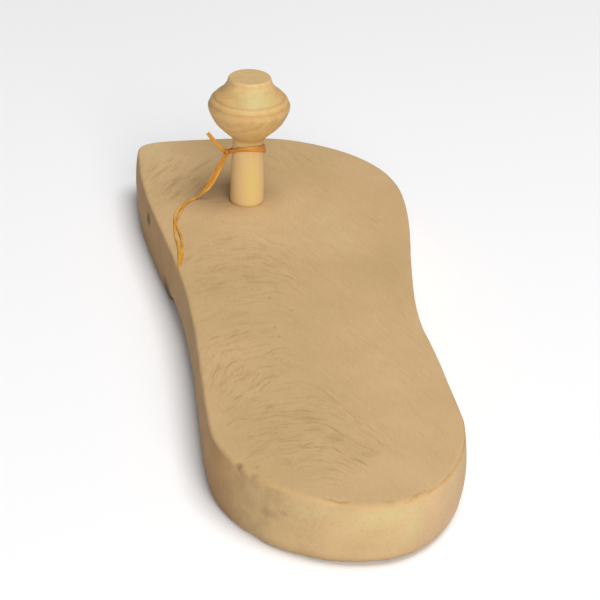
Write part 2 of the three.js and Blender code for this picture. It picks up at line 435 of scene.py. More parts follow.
# The outline's points, anticlockwise from the back of the heel: across, along, the heading of the
# edge in degrees, the reach of the curve before and after the point, and the radii to which the
# wall's lower and upper edges are rounded.
half_length = sole_length / 2
half_width = ball_width / 2
outline_columns = ("across", "along", "heading", "before", "after", "under", "over")
outline_table = {
    "back of heel": (-1, -half_length, 0, 11, 19, 5.4, 1.2),
    "outer heel": (33.5, -80.5, 90, 21, 25, 2.6, 0.8),
    "outer waist": (33.7, -34, 92, 20, 20, 3, 0.8),
    "outer spread": (40.6, 22, 80, 18, 16, 3, 0.8),
    "outer ball": (half_width, 73, 90, 20, 21, 3, 1),
    "outer toes": (26.2, 115.2, 144, 14, 14, 2.8, 1.2),
    "tip of toes": (-13.5, half_length, 180, 21, 25, 2.6, 1.2),
    "inner toes": (-47, 114.5, 267.5, 11.5, 10.5, 2.6, 0.9),
    "inner ball": (-half_width, 91.5, 270, 10.5, 25, 2.4, 0.8),
    "inner waist": (-42, -2, 270, 30, 30, 2.4, 0.8),
    "inner heel": (-45, -79.5, 270, 20, 12, 1.8, 1.1),
    "inner back of heel": (-31.2, -112.3, 313.5, 12, 12, 1.8, 1.4),
}
outline_rows = [dict(zip(outline_columns, row)) for row in outline_table.values()]
outline_step = 1.1
outline = []
for row, following in zip(outline_rows, outline_rows[1:] + outline_rows[:1]):
    start = Vector((row["across"], row["along"]))
    end = Vector((following["across"], following["along"]))
    leaving = math.radians(row["heading"])
    arriving = math.radians(following["heading"])
    start_pull = start + row["after"] * Vector((math.cos(leaving), math.sin(leaving)))
    end_pull = end - following["before"] * Vector((math.cos(arriving), math.sin(arriving)))
    stretch = round((end - start).length / outline_step)
    for step, place in enumerate(interpolate_bezier(start, start_pull, end_pull, end, stretch + 1)[:-1]):
        part = step / stretch
        outline.append({
            "place": place,
            "under": row["under"] + (following["under"] - row["under"]) * part,
            "over": row["over"] + (following["over"] - row["over"]) * part,
        })
for i, point in enumerate(outline):
    along_edge = outline[(i + 1) % len(outline)]["place"] - outline[i - 1]["place"]
    point["outward"] = Vector((along_edge.y, -along_edge.x)).normalized()

# Hand work leaves the wall a little uneven, by up to this much inwards, over about these lengths.
unevenness = {16: 0.32, 5: 0.08}


def wall_section(under, over):
    """The wall from the floor up, as heights and how far each is in from the widest line."""
    section = []
    for turn in range(0, 90, 15):
        angle = math.radians(turn)
        section.append((under * (1 - math.cos(angle)), under_inset + under * (1 - math.sin(angle))))
    for part in (1, 0.75, 0.5, 0.25, 0):
        section.append((belly_height - (belly_height - under) * part, under_inset * part ** 2))
    shoulder = FOOTBED - over
    for part in (0.2, 0.4, 0.6, 0.8, 1):
        section.append((belly_height + (shoulder - belly_height) * part, footbed_inset * part ** 2))
    for turn in range(15, 91, 15):
        angle = math.radians(turn)
        section.append((FOOTBED - over * (1 - math.sin(angle)), footbed_inset + over * (1 - math.cos(angle))))
    return section


sections = [wall_section(point["under"], point["over"]) for point in outline]
rings = []
for level in range(len(sections[0])):
    ring = []
    for point, section in zip(outline, sections):
        height, inset = section[level]
        for length, depth in unevenness.items():
            inset += depth * (0.5 + 0.5 * noise.noise(Vector((*point["place"], height * 1.5)) / length))
        place = point["place"] - inset * point["outward"]
        ring.append(Vector((place.x, place.y, height)) * MM)
    rings.append(ring)
bm = bmesh.new()
draw_out(bm, rings)

# The flats of the footbed and the underside are the faces with more corners than this. They are inset,
# the footbed's twice, so that the shine of its edge stays narrow.
flat_corners = 60
inset_width = 0.6 * MM
footbed_face = [face for face in bm.faces if face.normal.z > 0.99 and len(face.verts) > flat_corners]
for _ in range(2):
    bmesh.ops.inset_region(bm, faces=footbed_face, thickness=inset_width, use_even_offset=True)
underside = [face for face in bm.faces if face.normal.z < -0.99 and len(face.verts) > flat_corners]
bmesh.ops.inset_region(bm, faces=underside, thickness=inset_width, use_even_offset=True)

# The arch: the underside is cut across in narrow strips, which are lifted to the arch's side view.
arch_strip = 1.5
cut = arch_ends["heel"][0] - 1
while cut < arch_ends["ball"][0] + 1:
    low = [face for face in bm.faces if face.calc_center_median().z < 0.1 * MM]
    low_edges = {edge for face in low for edge in face.edges}
    low_verts = {vert for face in low for vert in face.verts}
    bmesh.ops.bisect_plane(bm, geom=[*low, *low_edges, *low_verts], dist=1e-7,
                           plane_co=(0, cut * MM, 0), plane_no=(0, 1, 0))
    cut += arch_strip


def arch_height(along):
    """How high the arch is, at a place along the sole, in millimetres."""
    height = arch_depth
    for end, inwards, run in arch_ends.values():
        part = (along - end) * inwards / run
        if part < 0.7:
            height = min(height, arch_depth * max(0, part))
        elif part < 1.6:
            bend = math.sqrt(1 + (part - 0.7) / 0.3) - 1
            height = min(height, arch_depth * (0.7 + 0.6 * bend - 0.3 * bend ** 2))
    return height


for vert in bm.verts:
    share = max(0, 1 - vert.co.z / (belly_height * MM))
    vert.co.z += arch_height(vert.co.y / MM) * MM * share

# Small dents, chips and flats from wear on the heel's edges: across, along, height, radius, depth.
dents = {
    "nick on the inner heel": (-38.5, -100.2, 21.2, 2.2, 0.6),
    "chip behind the nick": (-34.9, -105.9, 21.2, 2.4, 0.25),
    "worn place at the back": (-13, -121.5, 21, 3.4, 0.45),
    "worn place at the outer back": (10, -123, 21, 3, 0.4),
    "flat on the lower inner heel": (-36, -108, 2, 5, 0.6),
    "flat on the lower heel": (-24, -119, 3, 5, 0.5),
}
edge_verts = [vert for vert in bm.verts if all(len(face.verts) <= flat_corners for face in vert.link_faces)]
for across, along, height, radius, depth in dents.values():
    middle = Vector((across, along, height)) * MM
    for vert in edge_verts:
        far = (vert.co - middle).length / (radius * MM)
        if far < 1:
            vert.co -= vert.normal * depth * MM * (1 - far ** 2) ** 2
bmesh.ops.recalc_face_normals(bm, faces=bm.faces)

# The sole's looks: a pale diffuse-porous hardwood, sawn with its growth rings cutting the footbed in
# nested arches, then sanded and left dull. The rings show as short wavy strokes, a little darker than
# the wood round them, and the heel's upper edge is browned by handling.
sole_wood, tree = new_material("pale_hardwood_sanded_bare")
in_mm = place_in_mm(tree)
plain_place = add(tree, "ShaderNodeSeparateXYZ", {0: in_mm})


def shaken(tree, place, length, amount):
    """A place moved to and fro by up to half of the amount, over about that length."""
    moves = add(tree, "ShaderNodeTexNoise", {"Vector": place, "Scale": 1 / length, "Detail": 2,
                                             "Roughness": 0.45})
    centred = add(tree, "ShaderNodeVectorMath", {0: moves.outputs["Color"], 1: (0.5, 0.5, 0.5)},
                  operation="SUBTRACT")
    return add(tree, "ShaderNodeVectorMath", {0: centred.outputs[0], 1: amount, 2: place},
               operation="MULTIPLY_ADD").outputs[0]


def greatest(tree, values):
    """The greatest of several shader values. Each is made just before it is compared, to save memory."""
    best = None
    for value in values:
        if best is None:
            best = value
        else:
            best = add(tree, "ShaderNodeMath", {0: best, 1: value}, operation="MAXIMUM").outputs[0]
    return best


def product(tree, values):
    """Several shader values multiplied together."""
    result = values[0]
    for value in values[1:]:
        result = add(tree, "ShaderNodeMath", {0: result, 1: value}, operation="MULTIPLY").outputs[0]
    return result


def mottled(tree, place, size, detail, roughness, low, high, least=0, most=1):
    """Uneven patches of about that size, which rise from least to most as a noise goes from low to high."""
    clouds = add(tree, "ShaderNodeTexNoise", {"Vector": place, "Scale": 1 / size, "Detail": detail,
                                              "Roughness": roughness})
    return add(tree, "ShaderNodeMapRange", {
        "Value": clouds.outputs["Fac"], "From Min": low, "From Max": high, "To Min": least,
        "To Max": most}, interpolation_type="SMOOTHSTEP").outputs[0]


def fibrous(tree, place, fineness, colour, dark, light):
    """The relief of the wood's fine fibres, and a colour that they darken and lighten."""
    fibre_place = add(tree, "ShaderNodeVectorMath", {0: place, 1: fineness}, operation="MULTIPLY")
    fine = add(tree, "ShaderNodeTexNoise", {"Vector": fibre_place.outputs[0], "Scale": 1, "Detail": 2})
    tone = add(tree, "ShaderNodeMapRange", {
        "Value": fine.outputs["Fac"], "From Min": 0.3, "From Max": 0.7, "To Min": dark, "To Max": light})
    toned = add(tree, "ShaderNodeVectorMath", {0: colour, "Scale": tone.outputs[0]}, operation="SCALE")
    return fine.outputs["Fac"], toned.outputs[0]


# The rings wander a little over some 60 mm, and waver over a few millimetres.
wandered = shaken(tree, in_mm, 60, (9, 16, 6))
wavy = shaken(tree, wandered, 6.5, (1.9, 2.5, 1.2))
grain = add(tree, "ShaderNodeSeparateXYZ", {0: wavy})

# The tree's heart runs above the board at this place across, and the board leans to it by this much.
heart_across = -16
heart_height = FOOTBED + 13
lean = 0.4
from_heart = add(tree, "ShaderNodeMath", {0: grain.outputs["X"], 1: heart_across}, operation="SUBTRACT")
outer_part = add(tree, "ShaderNodeMath", {0: from_heart.outputs[0], 1: 0}, operation="MAXIMUM")
inner_part = add(tree, "ShaderNodeMath", {0: from_heart.outputs[0], 1: 0}, operation="MINIMUM")
# On the inner side the arches are flat at the heel and the waist, and steep between them and at the
# toes: the way along the sole, from 0 at the heel to 1 at the toes, and the steepness.
way_along = add(tree, "ShaderNodeMapRange", {
    "Value": plain_place.outputs["Y"], "From Min": -half_length, "From Max": half_length})
inner_steepness = add(tree, "ShaderNodeFloatCurve", {"Value": way_along.outputs[0]})
steepness_along = inner_steepness.mapping.curves[0]
steepness_along.points[0].location = (0, 0.5)
steepness_along.points[-1].location = (1, 0.95)
for place, value in ((0.17, 0.5), (0.26, 0.76), (0.34, 0.62), (0.45, 0.42), (0.56, 0.45), (0.74, 0.85)):
    steepness_along.points.new(place, value)
inner_mapped = add(tree, "ShaderNodeMath", {0: inner_part.outputs[0], 1: inner_steepness.outputs[0]},
                   operation="MULTIPLY")
across_heart = add(tree, "ShaderNodeMath", {0: outer_part.outputs[0], 1: inner_mapped.outputs[0]},
                   operation="ADD")
below_heart = add(tree, "ShaderNodeMath", {0: heart_height, 1: grain.outputs["Z"]}, operation="SUBTRACT")
heart_offset = add(tree, "ShaderNodeCombineXYZ", {0: across_heart.outputs[0], 2: below_heart.outputs[0]})
ring_radius = add(tree, "ShaderNodeVectorMath", {0: heart_offset.outputs[0]}, operation="LENGTH")
ring_place = add(tree, "ShaderNodeMath", {0: ring_radius.outputs["Value"], 1: 1 / lean,
                                          2: grain.outputs["Y"]}, operation="MULTIPLY_ADD")

# Broken strokes that follow the rings, about 3 mm apart at the arches' tops, closer at their sides,
# and 8 mm long.
stroke_pitch = 3
stroke_length = 8
stroke_across = add(tree, "ShaderNodeMath", {0: ring_place.outputs[0], 1: 2 / stroke_pitch},
                    operation="MULTIPLY")
stroke_along = add(tree, "ShaderNodeMath", {0: grain.outputs["X"], 1: 1 / stroke_length},
                   operation="MULTIPLY")
stroke_drift = add(tree, "ShaderNodeMath", {0: grain.outputs["Y"], 1: 0.5 / stroke_length},
                   operation="MULTIPLY")
stroke_place = add(tree, "ShaderNodeCombineXYZ", {
    0: stroke_across.outputs[0], 1: stroke_along.outputs[0], 2: stroke_drift.outputs[0]})
stroke_noise = add(tree, "ShaderNodeTexNoise", {"Vector": stroke_place.outputs[0], "Scale": 1,
                                                "Detail": 3, "Roughness": 0.6})
strokes = add(tree, "ShaderNodeMapRange", {
    "Value": stroke_noise.outputs["Fac"], "From Min": 0.48, "From Max": 0.72},
    interpolation_type="SMOOTHSTEP")
# Between the strokes run thin wavy lines, about 2 mm apart and 0.5 mm wide, some fainter than others.
line_noise = add(tree, "ShaderNodeTexNoise", {"Vector": stroke_place.outputs[0], "Scale": 0.95,
                                              "Detail": 1, "Roughness": 0.4})
from_middle = add(tree, "ShaderNodeMath", {0: line_noise.outputs["Fac"], 1: 0.5}, operation="SUBTRACT")
off_line = add(tree, "ShaderNodeMath", {0: from_middle.outputs[0]}, operation="ABSOLUTE")
lines = add(tree, "ShaderNodeMapRange", {
    "Value": off_line.outputs[0], "From Min": 0.05, "From Max": 0.005}, interpolation_type="SMOOTHSTEP")
lines_kept = mottled(tree, in_mm, 6, 2, 0.5, 0.38, 0.62, 0.1, 0.75)

# Where the strokes are plain to see: middle, reach, and strength. Elsewhere they are faint, and on
# the wall, which was rasped across them, they hardly show.
stroke_areas = {
    "heel": ((-14, -86, FOOTBED), (32, 38, 30), 1),
    "inner waist": ((-30, -42, FOOTBED), (24, 46, 30), 1),
    "ball": ((-18, 20, FOOTBED), (38, 40, 30), 0.95),
    "inner toes": ((-36, 92, FOOTBED), (22, 36, 30), 1),
    "outer toes": ((10, 104, FOOTBED), (24, 20, 30), 0.6),
    "whole footbed": ((0, 0, FOOTBED), (90, 200, 60), 0.35),
}
stroke_area = greatest(tree, (
    soft_spot(tree, in_mm, middle, reach, strength=strength, core=0.3)
    for middle, reach, strength in stroke_areas.values()))
off_wall = add(tree, "ShaderNodeMapRange", {
    "Value": plain_place.outputs["Z"], "From Min": 20.2, "From Max": 21.3, "To Min": 0.14},
    interpolation_type="SMOOTHSTEP")
lines_shown = product(tree, [lines.outputs[0], lines_kept])
grain_shown = greatest(tree, [strokes.outputs[0], lines_shown])
strokes_shown = product(tree, [grain_shown, stroke_area, off_wall.outputs[0]])

# Strokes of open grain and wear, put where they are on the footbed: from, to, half width, strength.
marks = {
    "inner edge of the waist": ((-38.5, -29), (-33, -26), 0.7, 0.9),
    "across the waist": ((-30, -27), (-21, -23.7), 0.55, 0.7),
    "above it": ((-30, -20.5), (-18, -17.2), 0.5, 0.6),
    "fore waist": ((-27, -7.5), (-18, -5.4), 0.5, 0.6),
    "below the fore waist": ((-25.3, -13.4), (-20.5, -11.3), 0.5, 0.6),
    "long faint line": ((6.5, -24.5), (10, -32.5), 0.35, 0.5),
    "long faint line, rear": ((10, -32.5), (16, -42), 0.35, 0.5),
    "inner scribble": ((-38, -47.5), (-33, -44.5), 0.5, 0.6),
    "inner scribble, rear": ((-34.5, -56), (-30, -52.5), 0.5, 0.6),
    "inner heel": ((-27, -62.3), (-20.5, -53.3), 0.55, 0.7),
    "inner heel, edge": ((-40, -72.7), (-34, -68), 0.6, 0.7),
    "inner heel, corner": ((-39.2, -79.3), (-35, -75.8), 0.5, 0.7),
    "inner heel, corner bend": ((-35, -75.8), (-30.5, -76.8), 0.5, 0.6),
    "dark cluster": ((-35, -65.5), (-31.5, -62.5), 0.9, 0.9),
    "second dark cluster": ((-26.5, -71.5), (-22.8, -69.3), 0.9, 0.8),
    "heel flank": ((-7.5, -61.5), (-3, -72), 0.5, 0.6),
    "heel flank, rear": ((-3, -72), (1.8, -84), 0.5, 0.6),
    "second flank": ((-9, -81.5), (-3.3, -92.5), 0.55, 0.8),
    "second flank, rear": ((-3.3, -92.5), (3.5, -98.5), 0.55, 0.7),
    "third flank": ((0, -83), (7.5, -99), 0.45, 0.6),
    "heel arc": ((-25, -97), (-18, -94.2), 0.6, 0.7),
    "heel arc, top": ((-19, -94), (-10, -93.3), 0.6, 0.9),
    "heel arc, bend": ((-10, -93.4), (-6.7, -99), 0.6, 0.9),
    "heel arc, end": ((-6.7, -99), (-0.8, -105), 0.6, 0.8),
    "ball, dark": ((-19.5, 25.3), (-12, 26.9), 0.7, 0.9),
    "ball, inner": ((-17.7, 7.1), (-10.5, 7.3), 0.5, 0.6),
    "ball, top": ((-9.3, 36.2), (-0.8, 33), 0.6, 0.7),
    "ball, outer": ((11.5, 34), (15.8, 26.3), 0.5, 0.6),
    "scratch": ((30.5, 53.5), (33.3, 44.7), 0.4, 0.6),
    "scratch, bend": ((33.3, 44.7), (36.7, 38), 0.4, 0.6),
    "scratch, end": ((36.7, 38), (37.5, 33.5), 0.35, 0.5),
    "right of the knob": ((3.3, 108), (6.7, 102.5), 0.6, 0.5),
    "right of the knob, outer": ((14, 110), (19.5, 97), 0.6, 0.5),
    "toe corner": ((-45, 88), (-35, 103), 1.2, 0.9),
    "toe corner, rear": ((-40.8, 78), (-30.8, 94.7), 1.2, 0.9),
    "inner toes": ((-40, 71), (-33, 81), 1.1, 0.8),
    "towards the tip": ((-30, 93), (-16.7, 108.8), 1.1, 0.8),
    "nick in the heel's edge": ((-38.9, -98.8), (-36.9, -101.4), 1.1, 0.6),
    "worn edge, back": ((-18, -119.3), (-9.8, -122.6), 0.8, 0.8),
    "worn edge, middle": ((-1, -123.9), (3.2, -123.5), 0.7, 0.6),
    "worn edge, outer back": ((7.4, -122.1), (13.8, -118.6), 0.8, 0.8),
}
# Specks and stained places: across, along, reach across and along, strength.
specks = {
    "waist": (-15.4, -23, 0.9, 0.8, 1),
    "waist, rear": (-15, -28.8, 0.9, 0.8, 1),
    "middle": (-14.2, -3.8, 0.8, 0.7, 0.9),
    "middle, rear": (-8.3, -12.5, 0.7, 0.7, 0.8),
    "outer waist": (-2.1, -18, 0.8, 0.7, 0.8),
    "outer": (8.3, -13, 0.8, 0.7, 0.9),
    "outer, rear": (7.9, -16.7, 0.7, 0.7, 0.8),
    "by the raffia": (-21.7, 53.8, 0.9, 0.8, 0.9),
    "heel": (-33, -102, 1, 1, 1),
    "olive place": (-13.3, -79, 4.5, 1.8, 0.5),
    "olive place, rear": (-12.9, -84, 4, 1.9, 0.55),
    "smear": (0, -99, 4.5, 2.6, 0.4),
    "heel's middle": (-8, -89, 5, 3.5, 0.4),
}
ragged = shaken(tree, in_mm, 1.6, (1.3, 1.3, 0.5))
stain_places = []
for start, end, wide, strength in marks.values():
    stroke = Vector(end) - Vector(start)
    middle = (Vector(start) + stroke / 2).to_3d() + Vector((0, 0, FOOTBED))
    turn = math.degrees(math.atan2(stroke.y, stroke.x))
    stain_places.append((middle, (stroke.length / 2 + wide, wide, 2.5), turn, strength))
for across, along, wide, long, strength in specks.values():
    stain_places.append(((across, along, FOOTBED), (wide, long, 2.5), 0, strength))
stains = greatest(tree, (soft_spot(tree, ragged, *place) for place in stain_places))

# Broad changes of tone, straw, peach and a greyer tan, over about 45 mm, and a finer mottle.
tones = add(tree, "ShaderNodeTexNoise", {"Vector": in_mm, "Scale": 1 / 45, "Detail": 5,
                                         "Roughness": 0.55})
tone_colour = add(tree, "ShaderNodeValToRGB", {0: tones.outputs["Fac"]})
shade(tone_colour.color_ramp, [(0.3, "#BC9F70"), (0.47, "#C4A577"), (0.58, "#C9A87B"), (0.75, "#CCB083")])
# Fine fibres run along the board, 0.25 mm wide and about 6 mm long.
fibre_relief, fibred = fibrous(tree, in_mm, (4, 0.17, 4), tone_colour.outputs["Color"], 0.95, 1.045)

# Regions of the board, each of which fades in from one place to another: the axis, the two places, and
# how much is left outside the region.
regions = {
    "edge, from below": ("Z", 20.4, 21, 0),
    "edge, from above": ("Z", 21.5, 21.38, 0),
    "heel": ("Y", -40, -90, 0.2),
    "outer edge": ("X", -22, 12, 0.35),
    "wall": ("Z", 21.2, 20.2, 0),
    "inner half": ("X", -4, -30, 0.2),
    "inner side": ("X", -35, -45, 0),
    "lower wall": ("Z", 17, 3, 0),
    # Painted shade goes on the foot of the wall.
    "foot of the wall": ("Z", 5, 0.3, 0),
}
inside = {}
for name, (axis, start, end, least) in regions.items():
    inside[name] = add(tree, "ShaderNodeMapRange", {
        "Value": plain_place.outputs[axis], "From Min": start, "From Max": end, "To Min": least},
        interpolation_type="SMOOTHSTEP").outputs[0]

# The heel's upper edge is browned by handling, in a thin broken line.
edge_some = mottled(tree, in_mm, 7, 4, 0.7, 0.26, 0.52)
edge_line = product(tree, [
    inside["edge, from below"], inside["edge, from above"], inside["heel"], edge_some, inside["outer edge"]])

# The wall's inner half is smudged brown by hands and dust. Painted shade makes the inner side of the
# wall darker and browner, and darker still low down.
smudge_some = mottled(tree, in_mm, 9, 5, 0.65, 0.42, 0.68)
smudges = product(tree, [inside["wall"], smudge_some, inside["inner half"]])
painted_shade_inner_wall = product(tree, [inside["wall"], inside["inner side"]])
painted_shade_low_inner_wall = product(tree, [inside["lower wall"], inside["inner side"]])
# The rasp that shaped the wall left faint slanting marks on it, about 0.8 mm wide and 4 mm long.
rasp_place = add(tree, "ShaderNodeMapping", {
    "Vector": wavy, "Rotation": (math.radians(50), math.radians(-40), 0), "Scale": (0.8, 0.8, 4)},
    vector_type="TEXTURE")
rasped = mottled(tree, rasp_place.outputs[0], 1, 3, 0.5, 0.45, 0.7)
rasp_marks = product(tree, [inside["wall"], rasped])

# A painted highlight, pale and yellow, lies under the heel's upper edge and runs down its wall, and a
# pinker place is on the wall's outer side: middle, reach, turn, strength.
painted_highlight_places = {
    "under the edge": ((0, -125.5, 17.5), (19, 12, 5), 0, 0.9),
    "running down": ((8, -123.5, 12.5), (8, 12, 9), 0, 0.65),
    "inner end": ((-19, -119.5, 17.5), (12, 10, 4), -25, 0.6),
    "outer side": ((24, -112, 17), (9, 11, 5), 40, 0.4),
}
blurred = shaken(tree, in_mm, 3.5, (5, 5, 3))
painted_highlight = greatest(tree, (soft_spot(tree, blurred, *place, core=0) for place in painted_highlight_places.values()))
pink_side = soft_spot(tree, in_mm, (22, -114, 8), (26, 22, 16), 0, 1, core=0.2)
# The footbed is stained a warm yellow on the heel side of the knob's foot.
foot_stain = soft_spot(tree, blurred, (-7.5, 63.2, FOOTBED), (6.5, 3.6, 2.5), core=0)

# Dark places on the inner wall and the heel's upper edge. The one at the step of the arch is painted
# shadow over a dark stain: middle, reach, turn, strength.
dark_places = {
    "dead knot": ((-47.5, 69.8, 15.7), (4, 5, 3.4), 0, 1),
    "step of the arch": ((-46, 37, 3), (9, 9, 8), 0, 1.1),
    "inner heel, low": ((-38, -106, 5), (8, 12, 5), 0, 0.2),
    "heel blotch": ((-31.2, -112.5, 12.5), (4.5, 4, 2.2), 0, 0.22),
    "beside the blotch": ((-27.5, -115.3, 14.3), (2.2, 3, 1.5), 0, 0.16),
    "nick": ((-38.4, -100.2, 21.1), (2.2, 2.2, 1.6), 0, 0.45),
    "chip": ((-34.8, -105.8, 21.1), (2, 1.6, 1.4), 0, 0.25),
}
dark = greatest(tree, (soft_spot(tree, ragged, *place) for place in dark_places.values()))

wood_colour = tinted(tree, fibred, [
    (pink_side, 0.3, "#C4A184"),
    (strokes_shown, 0.42, "#927346"),
    (stains, 0.3, "#785933"),
    (foot_stain, 0.25, "#D9B066"),
    # Painted highlight on the heel's wall.
    (painted_highlight, 0.6, "#C2B780"),
    # Painted shade on the inner side of the wall, darker still low down.
    (painted_shade_inner_wall, 0.6, "#A87432"),
    (painted_shade_low_inner_wall, 0.36, "#765A2A"),
    (rasp_marks, 0.1, "#8E7048"),
    (smudges, 0.28, "#8C6A48"),
    # Painted shade: darker at the foot of the wall, all round.
    (inside["foot of the wall"], 0.3, "#84684A"),
    (edge_line, 0.5, "#A87833"),
    # Dark places, among them the painted shadow at the step of the arch.
    (dark, 0.8, "#4A3020"),
])

# Relief: the strokes are pores and stand open, and sanding leaves fine fibres.
relief = add(tree, "ShaderNodeMath", {0: fibre_relief, 1: strokes_shown}, operation="SUBTRACT")
wood_bump = add(tree, "ShaderNodeBump", {"Strength": 0.35, "Distance": 0.08 * MM,
                                         "Height": relief.outputs[0]})
rough = add(tree, "ShaderNodeMapRange", {
    "Value": stroke_noise.outputs["Fac"], "From Min": 0.3, "From Max": 0.7, "To Min": 0.6, "To Max": 0.74})
board = add(tree, "ShaderNodeBsdfPrincipled", {
    "Base Color": wood_colour, "Roughness": rough.outputs[0], "IOR": 1.45,
    "Specular IOR Level": 0.3, "Normal": wood_bump.outputs["Normal"]})
add(tree, "ShaderNodeOutputMaterial", {"Surface": board.outputs[0]})

sole = place_piece("sole_board", bm, sole_wood, sharp=40)

# The peg's hole is drilled right through. The flat of the footbed round it is shaded flat.
hole_radius = (tenon_radius + 0.3) * MM
bm = bmesh.new()
bmesh.ops.create_cone(bm, segments=64, radius1=hole_radius, radius2=hole_radius, depth=2 * FOOTBED * MM,
                      cap_ends=True)
bmesh.ops.translate(bm, verts=bm.verts, vec=(knob_axis + Vector((0, 0, FOOTBED / 2))) * MM)
drill = place_piece("drill", bm, sole_wood)
drilling = sole.modifiers.new("peg_hole", "BOOLEAN")
drilling.operation = "DIFFERENCE"
drilling.object = drill
bpy.context.view_layer.update()
drilled = bpy.data.meshes.new_from_object(sole.evaluated_get(bpy.context.evaluated_depsgraph_get()))
for polygon in drilled.polygons:
    if len(polygon.vertices) > flat_corners:
        polygon.use_smooth = False
sole.modifiers.clear()
sole.data = drilled
bpy.data.objects.remove(drill)
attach(sole, "root")
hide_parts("sole")

# Toe knob
# Turned on a lathe in one piece: a tenon, which is glued into the sole, a neck for the toes to grip,
# and a flattened onion-shaped head with two scribed lines and a flat disc on top.
head_radius = 14.6
disc_radius = 7.7
scribe_depth = 0.2
lower_scribe = 38.75
upper_scribe = 40.95
tenon_recess = 0.8
knob_height = 48.2

# Stretches of the profile that are smooth in themselves: radius, and height above the footbed.
profile_stretches = {
    "tenon": [(0, tenon_recess - FOOTBED), (tenon_radius - 0.6, tenon_recess - FOOTBED)],
    "tenon side": [(tenon_radius, tenon_recess + 0.6 - FOOTBED), (tenon_radius, 0.05)],
    "foot": [(6.05, 0.05), (6.22, 0.4)],
    "neck and head, with the scribed lines": [
        (6.25, 1.2), (6.17, 4.7), (5.97, 12.2), (5.65, 20.3), (5.6, 23.6), (5.9, 25.1), (7.3, 26.7),
        (0.64 * head_radius, 28.6), (0.75 * head_radius, 30.2), (0.85 * head_radius, 32),
        (0.95 * head_radius, 34.8), (0.99 * head_radius, 36.4), (head_radius, 37.4),
        (0.992 * head_radius, 38), (0.97 * head_radius - scribe_depth, lower_scribe),
        (0.953 * head_radius, 39.4), (0.935 * head_radius, 39.85), (0.91 * head_radius, 40.3),
        (0.872 * head_radius - scribe_depth, upper_scribe), (0.825 * head_radius, 41.6),
        (0.7 * head_radius, 43), (0.61 * head_radius, 44.6), (1.04 * disc_radius, 46.2),
        (disc_radius, 47.3)],
    "disc": [(disc_radius - 0.15, 47.8), (disc_radius - 0.55, knob_height), (0, knob_height)],
}
profile = []
for name, stretch in profile_stretches.items():
    points = [Vector((radius, 0, height)) for radius, height in stretch]
    profile += smooth_line(points, 5) if len(points) > 2 and name != "disc" else points

bm = bmesh.new()
profile_verts = [bm.verts.new((point + Vector((0, 0, FOOTBED))) * MM) for point in profile]
profile_edges = [bm.edges.new(pair) for pair in zip(profile_verts, profile_verts[1:])]
bmesh.ops.spin(bm, geom=profile_verts + profile_edges, cent=(0, 0, 0), axis=(0, 0, 1), dvec=(0, 0, 0),
               angle=2 * math.pi, steps=128, use_merge=True, use_duplicate=False)
bmesh.ops.remove_doubles(bm, verts=bm.verts, dist=1e-6)
bmesh.ops.recalc_face_normals(bm, faces=bm.faces)
bmesh.ops.translate(bm, verts=bm.verts, vec=knob_axis * MM)

# The knob's looks: the same kind of wood, cut along the grain and turned, then rubbed to a soft
# shine. It is yellower than the sole, with faint streaks up its side and fine tool lines round it.
knob_wood, tree = new_material("pale_hardwood_turned_rubbed")
in_mm = place_in_mm(tree)
# The blank was split off about 16 mm from the tree's heart, so its rings are nearly upright.
wandered = shaken(tree, in_mm, 22, (5, 5, 5))
from_heart = add(tree, "ShaderNodeVectorMath",
                 {0: wandered, 1: knob_axis + Vector((11, 12, 0))}, operation="SUBTRACT")
flat_heart = add(tree, "ShaderNodeVectorMath", {0: from_heart.outputs[0], 1: (1, 1, 0.06)},
                 operation="MULTIPLY")
ring_radius = add(tree, "ShaderNodeVectorMath", {0: flat_heart.outputs[0]}, operation="LENGTH")
knob_grain = add(tree, "ShaderNodeSeparateXYZ", {0: in_mm})
streak_up = add(tree, "ShaderNodeMath", {0: knob_grain.outputs["Z"], 1: 0.03}, operation="MULTIPLY")
streak_place = add(tree, "ShaderNodeCombineXYZ", {0: ring_radius.outputs["Value"], 1: streak_up.outputs[0]})
streaks = add(tree, "ShaderNodeTexNoise", {"Vector": streak_place.outputs[0], "Scale": 1.1, "Detail": 3,
                                           "Roughness": 0.6})
knob_colour = add(tree, "ShaderNodeValToRGB", {0: streaks.outputs["Fac"]})
shade(knob_colour.color_ramp, [(0.3, "#CFAA70"), (0.46, "#D5B178"), (0.58, "#D8B57C"), (0.75, "#DDBD85")])
# A tool line is about 0.5 mm high, and none is quite like the next.
tool_lines = add(tree, "ShaderNodeTexNoise", {"W": knob_grain.outputs["Z"], "Scale": 2.2, "Detail": 2},
                 noise_dimensions="1D")
fibre_relief, fibred = fibrous(tree, in_mm, (4, 4, 0.2), knob_colour.outputs["Color"], 0.96, 1.03)

# A painted highlight, pale yellow-green, lies on the heel side of the head, a little to the outer side,
# and runs down the neck in a gold-yellow stripe: middle, reach, strength.
painted_highlight_places = {
    "shoulder": (knob_axis + Vector((1.5, -11, FOOTBED + 43.5)), (13, 10, 7), 1),
    "band": (knob_axis + Vector((6, -12, FOOTBED + 39.7)), (9, 7, 1.6), 0.4),
}
painted_highlight = greatest(tree, (
    soft_spot(tree, wandered, middle, reach, strength=strength, core=0.15)
    for middle, reach, strength in painted_highlight_places.values()))
painted_highlight_stripe_places = {
    "neck": (knob_axis + Vector((0.9, -6, FOOTBED + 8)), (4.4, 5, 17), 1),
    "belly": (knob_axis + Vector((2.5, -12, FOOTBED + 33)), (5, 6, 6), 0.4),
}
uneven = shaken(tree, wandered, 3, (1.6, 1.6, 3))
painted_highlight_stripe = greatest(tree, (
    soft_spot(tree, uneven, middle, reach, strength=strength, core=0)
    for middle, reach, strength in painted_highlight_stripe_places.values()))
# A reach as wide as this takes in the whole knob.
whole_width = 200


